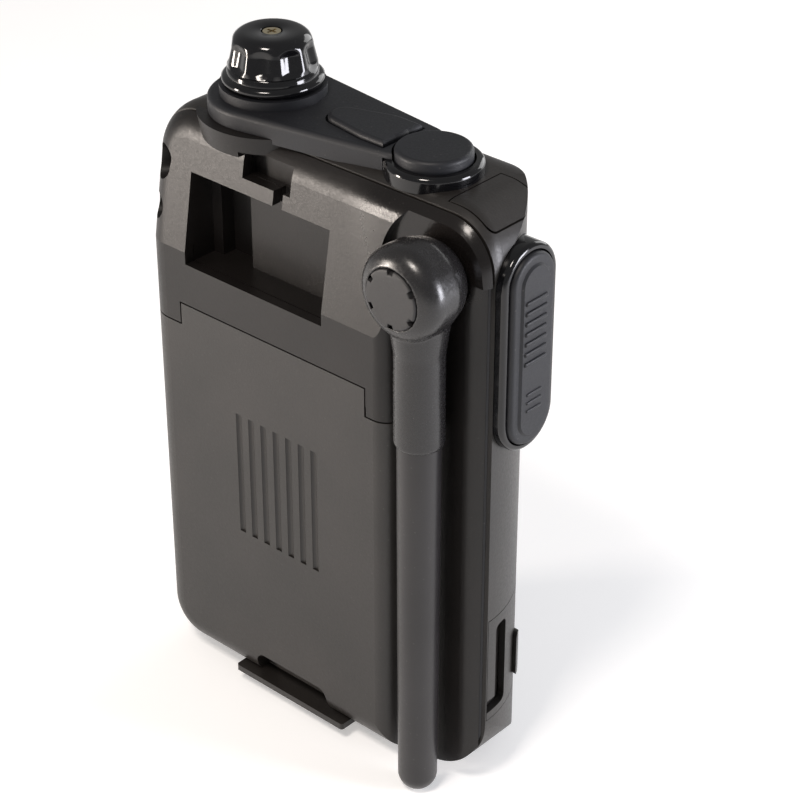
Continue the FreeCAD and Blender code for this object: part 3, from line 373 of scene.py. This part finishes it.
# Brass, plated steel and gold plate: bright, with fine tool lines.
TURNED_BRASS = Machined("turned brass", "c9a45a", 0.28, tarnish="7d6231")
PLATED_STEEL = Machined("nickel plated steel", "b9b7b2", 0.26)
# The knob's screw is yellowish and a little dull, a warm dot on the black knob.
PASSIVATED_STEEL = Machined("passivated steel", "cfc3a4", 0.32, tarnish="8f8263")
# Rolled sheet: greyer and duller than the plated parts, with its lines across.
TINNED_STEEL = Machined("rolled tinned steel", "a9a8a3", 0.36, tarnish="77756f", along=(8.0, 1.0, 1.0))
GOLD_PLATE = Machined("gold plated bronze", "d8b25c", 0.22, tarnish="9b7a38")
# The window is almost black and shows the display only faintly.
SMOKED_ACRYLIC = ClearWindow("smoked acrylic", "202426", 0.04)
# Unlit display: greenish grey with a fine grid of dots.
DISPLAY_FILM = Printed("display film", "7c857a", 0.30, second="6b746a", cell_mm=(0.45, 0.45),
                       line_share=0.14)
# Board: dark green with the paler lines of its tracks.
SOLDER_RESIST = Printed("solder resist over copper", "17401f", 0.38, second="2d6234", cell_mm=(2.4, 1.2),
                        line_share=0.2)
# Cloth over the loudspeaker: matt black with paler threads.
WOVEN_MESH = Printed("woven dust mesh", "0b0b0b", 0.8, second="2a2a2a", cell_mm=(0.35, 0.35),
                     line_share=0.35)
# Switch and jack bodies: dull dark grey.
SWITCH_NYLON = Moulded("moulded glass-filled nylon", "1a1a1c", 0.5, pale="26262a", grain_mm=0.4)
# The battery's wrap: blue, smooth, with slow ripples.
SHRINK_FILM = Moulded("shrink film", "23385a", 0.28, pale="2b4368", grain_mm=2.0, grain_depth_mm=0.02)

NODE_FINISHES: dict[str, Finish] = {
    "rear_housing": SHELL_ABS, "front_housing": TEXTURED_ABS, "battery_cover": TEXTURED_ABS,
    "housing_gasket": KEY_SILICONE, "battery_pack": SHRINK_FILM, "battery_contacts": GOLD_PLATE,
    "jack_cover": TEXTURED_ABS, "headset_jack": SWITCH_NYLON, "charger_insert_left": TEXTURED_ABS,
    "charger_insert_right": TEXTURED_ABS, "talk_bezel": POLISHED_ABS, "talk_key": KEY_SILICONE,
    "talk_switch": SWITCH_NYLON, "antenna_head": SATIN_NYLON, "antenna_cap": MATT_NYLON,
    "antenna_rod": SLEEVE_RUBBER, "antenna_pivot": PLATED_STEEL, "antenna_clip": PLATED_STEEL,
    "antenna_washer": PLATED_STEEL, "antenna_bush": TURNED_BRASS, "volume_knob": POLISHED_ABS,
    "knob_screw": PASSIVATED_STEEL, "control_shaft": PLATED_STEEL, "control_body": TINNED_STEEL,
    "control_nut": PLATED_STEEL, "top_pad": KEY_SILICONE, "key_plinth": POLISHED_ABS,
    "round_top_key": KEY_SILICONE, "side_top_key": KEY_SILICONE, "top_switches": SWITCH_NYLON,
    "display_window": SMOKED_ACRYLIC, "display_panel": DISPLAY_FILM, "keypad_mat": KEY_SILICONE,
    "main_board": SOLDER_RESIST, "shield_can": TINNED_STEEL, "speaker": TINNED_STEEL,
    "speaker_mesh": WOVEN_MESH, "microphone": TINNED_STEEL, "case_screws": PLATED_STEEL,
    "charging_contacts": GOLD_PLATE, "base_stud": PLATED_STEEL, "front_key_1": KEY_SILICONE,
    "front_key_2": KEY_SILICONE, "front_key_3": KEY_SILICONE, "front_key_4": KEY_SILICONE,
}


class Paint:
    """Makes each finish once and gives it to whatever needs it."""

    def __init__(self) -> None:
        """Start with no materials."""
        self.made: dict[str, bpy.types.Material] = {}

    def material(self, finish: Finish) -> bpy.types.Material:
        """Give the finish's material, made at first use.

        Args:
            finish: the finish.

        Returns:
            Its material.
        """
        if finish.name not in self.made:
            self.made[finish.name] = finish.build()
        return self.made[finish.name]

    def dress(self, piece: bpy.types.Object, finish: Finish) -> None:
        """Give the piece the finish in every material slot.

        Args:
            piece: the mesh object.
            finish: its finish.
        """
        material = self.material(finish)
        if not piece.material_slots:
            piece.data.materials.append(material)
        for held in piece.material_slots:
            held.material = material


# ---------------------------------------------------------------- mesh tools


def spin_profile(mesh: bmesh.types.BMesh, profile: Sequence[tuple[float, float]], centre: Vector,
                 axis: Vector, steps: int) -> None:
    """Spin a profile into a closed turned shape.

    Args:
        mesh: the bmesh to add to.
        profile: radius and distance along the axis of each corner, in metres.
        centre: the point on the axis from which distances count.
        axis: the unit axis.
        steps: faces round the axis.
    """
    side = axis.orthogonal().normalized()
    points = [mesh.verts.new(centre + side * radius + axis * along) for radius, along in profile]
    edges = [mesh.edges.new(pair) for pair in zip(points, points[1:])]
    bmesh.ops.spin(mesh, geom=points + edges, cent=centre, axis=axis, angle=math.tau, steps=steps,
                   use_merge=True)
    bmesh.ops.remove_doubles(mesh, verts=mesh.verts, dist=1e-6)
    bmesh.ops.recalc_face_normals(mesh, faces=mesh.faces)


def arc_points(centre: tuple[float, float], radius: float, start: float, end: float,
               count: int) -> list[tuple[float, float]]:
    """Points along an arc in a profile plane.

    Args:
        centre: the arc's centre.
        radius: its radius.
        start: first angle, in degrees.
        end: last angle, in degrees.
        count: number of points, ends included.

    Returns:
        The points in order.
    """
    turns = [math.radians(start + (end - start) * i / (count - 1)) for i in range(count)]
    return [(centre[0] + radius * math.cos(t), centre[1] + radius * math.sin(t)) for t in turns]


def finish_piece(name: str, mesh: bmesh.types.BMesh,
                 smooth_degrees: float = 35.0) -> bpy.types.Object:
    """Make an object of a finished bmesh, at the origin.

    Args:
        name: the piece's name.
        mesh: its geometry, in metres in the frame's own coordinates.
        smooth_degrees: edges flatter than this are shaded smooth.

    Returns:
        The new object.
    """
    data = bpy.data.meshes.new(name)
    mesh.to_mesh(data)
    mesh.free()
    data.shade_smooth()
    data.set_sharp_from_angle(angle=math.radians(smooth_degrees))
    piece = bpy.data.objects.new(name, data)
    bpy.context.scene.collection.objects.link(piece)
    LOG.info("%s: %d faces", name, len(data.polygons))
    return piece


def apply_modifiers(piece: bpy.types.Object) -> None:
    """Replace the piece's mesh by what its modifiers make, and drop them.

    Args:
        piece: the object with modifiers.
    """
    graph = bpy.context.evaluated_depsgraph_get()
    made = bpy.data.meshes.new_from_object(piece.evaluated_get(graph))
    piece.modifiers.clear()
    piece.data = made


def fuse_smooth(piece: bpy.types.Object, voxel_mm: float, rounds: int) -> None:
    """Fuse overlapping closed shapes into one skin with soft fillets.

    Args:
        piece: the object whose closed shapes overlap.
        voxel_mm: cell of the remesh.
        rounds: passes of smoothing.
    """
    remesh = piece.modifiers.new("fuse", "REMESH")
    remesh.mode = "VOXEL"
    remesh.voxel_size = voxel_mm * MM
    soften = piece.modifiers.new("soften", "SMOOTH")
    soften.factor = 0.5
    soften.iterations = rounds
    apply_modifiers(piece)
    piece.data.shade_smooth()


# ---------------------------------------------------------------- sub-assemblies


class Body(Enum):
    """Moving bodies of the frame that new pieces ride on."""

    ANTENNA = "antenna"
    KNOB = "knob"
    TALK = "talk"


@dataclass
class Antenna:
    """Folding antenna: swivel head, neck and sleeve in one skin, and a tapered rod. Sizes in millimetres."""

    head_radius: float = 6.3
    head_back: tuple[tuple[float, float], ...] = ((1.9, 0.0), (1.55, 0.2), (0.7, 1.5), (0.1, 3.4))
    dome_round: float = 2.6
    cap_radius: float = 4.0
    cap_round: float = 0.25
    cap_gap: float = 0.22
    cap_seat: float = 0.9
    notches: int = 6
    notch_depth: float = 0.55
    notch_start: float = 30.0
    neck_low: float = 67.4
    neck_high: float = 74.6
    sleeve_radius: float = 3.3
    sleeve_round: tuple[float, float] = (0.35, 0.4)
    plug_length: float = 1.2
    rod_top_radius: float = 2.9
    rod_tip_radius: float = 2.7

    def head(self) -> bpy.types.Object:
        """Build the head, neck and sleeve.

        Returns:
            The piece.
        """
        low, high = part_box("antenna_head")
        pivot = sum(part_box("antenna_cap"), Vector()) / 2
        depth = high.y - low.y
        radius = self.head_radius * MM
        rim = self.dome_round * MM
        mouth = (self.cap_radius + self.cap_gap) * MM
        chamfer = 0.15 * MM
        seat = depth - self.cap_seat * MM
        profile = [(0.0, 0.0)] + [(radius - inset * MM, rise * MM) for inset, rise in self.head_back]
        profile += arc_points((radius - rim, depth - rim), rim, 0, 90, 9)
        profile += [(mouth + chamfer, depth), (mouth, depth - chamfer), (mouth, seat), (0.0, seat)]
        mesh = bmesh.new()
        spin_profile(mesh, profile, Vector((pivot.x, low.y, pivot.z)), Vector((0, 1, 0)), 72)
        rod_centre = sum(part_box("antenna_rod"), Vector()) / 2
        foot = Vector((pivot.x, rod_centre.y, 0))
        sleeve = self.sleeve_radius * MM
        neck = [(0.0, low.z), (sleeve - self.sleeve_round[0] * MM, low.z),
                (sleeve, low.z + self.sleeve_round[1] * MM), (sleeve, self.neck_low * MM),
                (radius - 2.4 * MM, (self.neck_high - 3.0) * MM),
                (radius - 1.7 * MM, self.neck_high * MM), (0.0, self.neck_high * MM)]
        spin_profile(mesh, neck, foot, Vector((0, 0, 1)), 64)
        piece = finish_piece("antenna_head_skin", mesh)
        fuse_smooth(piece, 0.17, 14)
        return piece

    def rod(self) -> bpy.types.Object:
        """Build the rod with its round tip.

        Returns:
            The piece.
        """
        low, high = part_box("antenna_rod")
        centre = (low + high) / 2
        sleeve_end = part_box("antenna_head")[0].z
        tip = self.rod_tip_radius * MM
        profile = [(r, z + low.z + tip) for r, z in arc_points((0.0, 0.0), tip, -90, 0, 12)]
        profile[0] = (0.0, low.z)
        top = self.rod_top_radius * MM
        plug_end = sleeve_end + self.plug_length * MM
        profile += [(top, sleeve_end), (top, plug_end), (0.0, plug_end)]
        mesh = bmesh.new()
        spin_profile(mesh, profile, Vector((centre.x, centre.y, 0)), Vector((0, 0, 1)), 56)
        return finish_piece("antenna_rod_skin", mesh)

    def cap(self) -> bpy.types.Object:
        """Build the cap with its driver notches.

        Returns:
            The piece.
        """
        low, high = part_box("antenna_cap")
        centre = Vector(((low.x + high.x) / 2, low.y, (low.z + high.z) / 2))
        depth = high.y - low.y
        radius = self.cap_radius * MM
        edge = self.cap_round * MM
        cut = self.notch_depth * MM
        profile = [(0.0, 0.0), (radius, 0.0), (radius, depth - edge)]
        profile += arc_points((radius - edge, depth - edge), edge, 15, 90, 5)
        profile += [(radius - 0.9 * MM, depth), (0.0, depth)]
        mesh = bmesh.new()
        spin_profile(mesh, profile, centre, Vector((0, 1, 0)), 40 * self.notches)
        for corner in mesh.verts:
            offset = corner.co - centre
            reach = math.hypot(offset.x, offset.z)
            turn = self.notches * (math.atan2(offset.z, offset.x) - math.radians(self.notch_start))
            if reach > radius - 0.4 * MM and offset.y > 0.3 * MM and math.cos(turn) > 0.72:
                corner.co.x -= cut * offset.x / reach
                corner.co.z -= cut * offset.z / reach
        return finish_piece("antenna_cap_skin", mesh)

    def build(self, paint: Paint) -> None:
        """Build and dress the antenna.

        Args:
            paint: the material maker.
        """
        cap = self.cap()
        paint.dress(cap, MATT_NYLON)
        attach(cap, Body.ANTENNA.value)
        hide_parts("antenna_cap")
        head = self.head()
        paint.dress(head, SATIN_NYLON)
        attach(head, Body.ANTENNA.value)
        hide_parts("antenna_head")
        rod = self.rod()
        paint.dress(rod, SLEEVE_RUBBER)
        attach(rod, Body.ANTENNA.value)
        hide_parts("antenna_rod")


@dataclass
class VolumeKnob:
    """Fluted control knob on a two-step skirt. Sizes in millimetres."""

    flutes: int = 9
    flute_depth: float = 0.55
    waist: float = 5.95
    crown: float = 5.4
    dome: float = 1.9
    skirt_steps: tuple[tuple[float, float], ...] = ((0.2, 0.0), (0.0, 0.2), (0.0, 0.7), (0.3, 1.0),
                                                    (0.7, 1.15), (0.75, 1.8), (1.0, 2.05))
    body_low: float = 2.6
    flute_low: float = 2.3
    well_depth: float = 1.1
    screw_well: float = 1.4

    def build(self, paint: Paint) -> None:
        """Build and dress the knob.

        Args:
            paint: the material maker.
        """
        low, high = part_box("volume_knob")
        centre = Vector(((low.x + high.x) / 2, (low.y + high.y) / 2, low.z))
        top = (high.z - low.z) / MM
        skirt = (high.x - low.x) / 2 / MM
        profile = [(0.0, 0.0)] + [(skirt - inset, height) for inset, height in self.skirt_steps]
        profile += [(self.waist, self.flute_low - 0.1), (self.waist - 0.02, self.body_low)]
        rise = top - self.body_low - self.dome
        taper = self.crown - self.waist
        rings = 14
        profile += [(self.waist + taper * i / rings, self.body_low + rise * i / rings)
                    for i in range(1, rings + 1)]
        profile += arc_points((self.crown - self.dome, top - self.dome), self.dome, 10, 86, 9)
        well = self.screw_well
        profile += [(well + 0.15, top), (well, top - 0.12), (well, top - self.well_depth),
                    (0.0, top - self.well_depth)]
        mesh = bmesh.new()
        spin_profile(mesh, [(r * MM, z * MM) for r, z in profile], centre, Vector((0, 0, 1)),
                     20 * self.flutes)
        for corner in mesh.verts:
            self.carve(corner, centre, top)
        piece = finish_piece("volume_knob_skin", mesh, 50.0)
        paint.dress(piece, POLISHED_ABS)
        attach(piece, Body.KNOB.value)
        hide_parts("volume_knob")

    def carve(self, corner: bmesh.types.BMVert, centre: Vector, top: float) -> None:
        """Move a corner in where a flute passes.

        Args:
            corner: the vertex.
            centre: the middle of the knob's foot.
            top: the knob's height, in millimetres.
        """
        offset = corner.co - centre
        radius = math.hypot(offset.x, offset.y)
        height = offset.z / MM
        if height < self.flute_low or radius < 3.0 * MM:
            return
        phase = 0.5 + 0.5 * math.cos(self.flutes * math.atan2(offset.y, offset.x))
        low_fade = min(1.0, (height - self.flute_low) / 0.5)
        high_fade = min(1.0, max(0.0, top - 0.9 - height) / 0.9)
        depth = self.flute_depth * MM * low_fade * high_fade * phase
        corner.co.x -= depth * offset.x / radius
        corner.co.y -= depth * offset.y / radius


@dataclass
class TalkKey:
    """Rubber talk key: a raised tongue, grip ridges and a plain mark. Sizes in millimetres."""

    rim_round: float = 0.6
    rim_width: float = 1.0
    rim_depth: float = 0.6
    plate_depth: float = 3.6
    tongue_up: float = 0.3
    tongue_slope: float = 0.3
    outline_steps: int = 96
    bar_round: float = 0.22
    ridges: int = 7
    ridge_sink: float = 0.35
    ridge_size: tuple[float, float, float] = (0.6, 4.2, 0.62)
    ridge_low: float = 65.4
    ridge_pitch: float = 1.43
    mark_size: tuple[float, float, float] = (0.6, 3.0, 0.5)
    mark_sink: float = 0.42
    mark_at: tuple[float, ...] = (58.4, 59.6, 60.8)

    def plate(self, mesh: bmesh.types.BMesh, low: Vector, high: Vector) -> None:
        """Add the key's plate with its rounded rim and raised tongue.

        Args:
            mesh: the bmesh to add to.
            low: the key's lowest corner.
            high: its highest corner.
        """
        radius = (high.y - low.y) / 2
        half = (high.z - low.z) / 2 - radius
        middle = Vector((low.x + self.rim_depth * MM, (low.y + high.y) / 2, (low.z + high.z) / 2))
        half_step = Matrix.Rotation(math.pi / self.outline_steps, 4, "Z")
        upright = Matrix.Translation(middle) @ Matrix.Rotation(-math.pi / 2, 4, "Y")
        bmesh.ops.create_circle(mesh, cap_ends=True, radius=radius, segments=self.outline_steps,
                                matrix=upright @ half_step)
        for corner in mesh.verts:
            corner.co.z += half if corner.co.z > middle.z else -half
        face = mesh.faces[:][0]
        grown = bmesh.ops.extrude_face_region(mesh, geom=[face])["geom"]
        bmesh.ops.translate(mesh, verts=[g for g in grown if isinstance(g, bmesh.types.BMVert)],
                            vec=Vector((self.plate_depth * MM, 0, 0)))
        bmesh.ops.recalc_face_normals(mesh, faces=mesh.faces)
        rim = [e for e in mesh.edges if all(v.co.x < middle.x + 0.01 * MM for v in e.verts)]
        bmesh.ops.bevel(mesh, geom=rim, offset=self.rim_round * MM, segments=5, profile=0.5,
                        affect="EDGES", material=-1)
        top = min(mesh.faces, key=lambda f: f.calc_center_median().x)
        flat = (self.rim_width - 0.25) * MM
        bmesh.ops.inset_region(mesh, faces=[top], thickness=flat, use_even_offset=True)
        bmesh.ops.inset_region(mesh, faces=[top], thickness=self.tongue_slope * MM,
                               depth=self.tongue_up * MM, use_even_offset=True)

    def bar(self, mesh: bmesh.types.BMesh, centre: Vector, size: tuple[float, float, float]) -> None:
        """Add one small rounded bar.

        Args:
            mesh: the bmesh to add to.
            centre: its middle.
            size: its size along each axis, in millimetres.
        """
        form = Matrix.Translation(centre) @ Matrix.Diagonal(Vector((*size, 1 / MM)) * MM)
        corners = bmesh.ops.create_cube(mesh, size=1.0, matrix=form)["verts"]
        edges = list({e for corner in corners for e in corner.link_edges})
        bmesh.ops.bevel(mesh, geom=edges, offset=self.bar_round * MM, segments=3, profile=0.5,
                        affect="EDGES", material=-1)

    def build(self, paint: Paint) -> None:
        """Build and dress the key.

        Args:
            paint: the material maker.
        """
        low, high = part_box("talk_key")
        mesh = bmesh.new()
        self.plate(mesh, low, high)
        middle = (low.y + high.y) / 2
        for index in range(self.ridges):
            z = (self.ridge_low + index * self.ridge_pitch) * MM
            self.bar(mesh, Vector((low.x + self.ridge_sink * MM, middle, z)), self.ridge_size)
        for z in self.mark_at:
            self.bar(mesh, Vector((low.x + self.mark_sink * MM, middle, z * MM)), self.mark_size)
        piece = finish_piece("talk_key_skin", mesh)
        paint.dress(piece, KEY_SILICONE)
        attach(piece, Body.TALK.value)
        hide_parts("talk_key")


@dataclass
class Studio:
    """Pale floor, soft lights and the camera. Sizes in millimetres."""

    camera_at: tuple[float, float, float] = (-188.9, 201.4, 214.1)
    aim_at: tuple[float, float, float] = (-17.9, 11.5, 58.7)
    lens: float = 106.7
    sensor: float = 36.0
    floor_half: float = 3000.0
    floor_gap: float = 0.1
    floor_glow: float = 0.3
    sky_strength: float = 0.30
    lamp_target: tuple[float, float, float] = (0.0, 0.0, 50.0)

    def build(self) -> None:
        """Set up the whole studio."""
        self.camera()
        self.floor()
        self.surroundings()
        self.lamp("key", (-60.0, 250.0, 450.0), (110.0, 110.0), 1.2, "fff6ee")
        self.lamp("left strip", (350.0, 400.0, 90.0), (80.0, 220.0), 2.8, "fff4ea")
        self.lamp("right strip", (-430.0, -190.0, 110.0), (150.0, 200.0), 2.2, "f6f6ff")
        self.lamp("front fill", (0.0, -500.0, 200.0), (300.0, 300.0), 0.8, "ffffff")

    def camera(self) -> None:
        """Place the camera and make it the scene's own."""
        data = bpy.data.cameras.new("camera")
        data.lens = self.lens
        data.sensor_width = self.sensor
        data.clip_start = 0.01
        camera = bpy.data.objects.new("camera", data)
        bpy.context.scene.collection.objects.link(camera)
        place = Vector(self.camera_at) * MM
        camera.location = place
        camera.rotation_euler = (Vector(self.aim_at) * MM - place).to_track_quat("-Z", "Y").to_euler()
        bpy.context.scene.camera = camera

    def lamp(self, name: str, place: tuple[float, float, float], size: tuple[float, float],
             power: float, colour: str) -> None:
        """Add one soft rectangular lamp aimed at the radio.

        Args:
            name: the lamp's name.
            place: its position, in millimetres.
            size: its width and height, in millimetres.
            power: its power in watts.
            colour: its sRGB hex colour.
        """
        data = bpy.data.lights.new(name, "AREA")
        data.shape = "RECTANGLE"
        data.size = size[0] * MM
        data.size_y = size[1] * MM
        data.energy = power
        data.color = linear(colour)[:3]
        lamp = bpy.data.objects.new(name, data)
        bpy.context.scene.collection.objects.link(lamp)
        lamp.location = Vector(place) * MM
        towards = Vector(self.lamp_target) * MM - lamp.location
        lamp.rotation_euler = towards.to_track_quat("-Z", "Y").to_euler()

    def floor(self) -> None:
        """Add a pale floor just under the lowest point."""
        mesh = bmesh.new()
        bmesh.ops.create_grid(mesh, x_segments=1, y_segments=1, size=self.floor_half * MM)
        level = CAD_BOX[0].z - self.floor_gap * MM
        bmesh.ops.translate(mesh, verts=mesh.verts, vec=Vector((0, 0, level)))
        floor = finish_piece("floor", mesh)
        material = bpy.data.materials.new("floor paint")
        material.use_nodes = True
        tree = material.node_tree
        shader = tree.nodes["Principled BSDF"]
        place = add_node(tree, "TexCoord").outputs["Object"]
        noise = add_node(tree, "TexNoise", {"Vector": place, "Scale": scale_of(40.0)})
        tone = mix_colour(tree, noise.outputs["Fac"], linear("f4f4f4"), linear("f8f8f8"))
        tree.links.new(tone, shader.inputs["Base Color"])
        shader.inputs["Roughness"].default_value = 0.9
        tree.links.new(tone, shader.inputs["Emission Color"])
        shader.inputs["Emission Strength"].default_value = self.floor_glow
        floor.data.materials.append(material)

    def surroundings(self) -> None:
        """Fill the surroundings with even white light."""
        world = bpy.data.worlds.new("surroundings")
        world.use_nodes = True
        background = world.node_tree.nodes["Background"]
        background.inputs["Color"].default_value = linear("ffffff")
        background.inputs["Strength"].default_value = self.sky_strength
        bpy.context.scene.world = world


def dress_frame(paint: Paint) -> None:
    """Give every node of the frame its finish.

    Args:
        paint: the material maker.
    """
    for name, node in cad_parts.items():
        paint.dress(node, NODE_FINISHES[name])
        LOG.info("dressed %s", name)


def main() -> None:
    """Build the visual model in order."""
    logging.basicConfig(level=logging.INFO, format="%(message)s")
    bpy.context.scene.view_settings.view_transform = "Standard"
    paint = Paint()
    Studio().build()
    dress_frame(paint)
    for assembly in (Antenna(), VolumeKnob(), TalkKey()):
        assembly.build(paint)


if __name__ == "__main__":
    main()
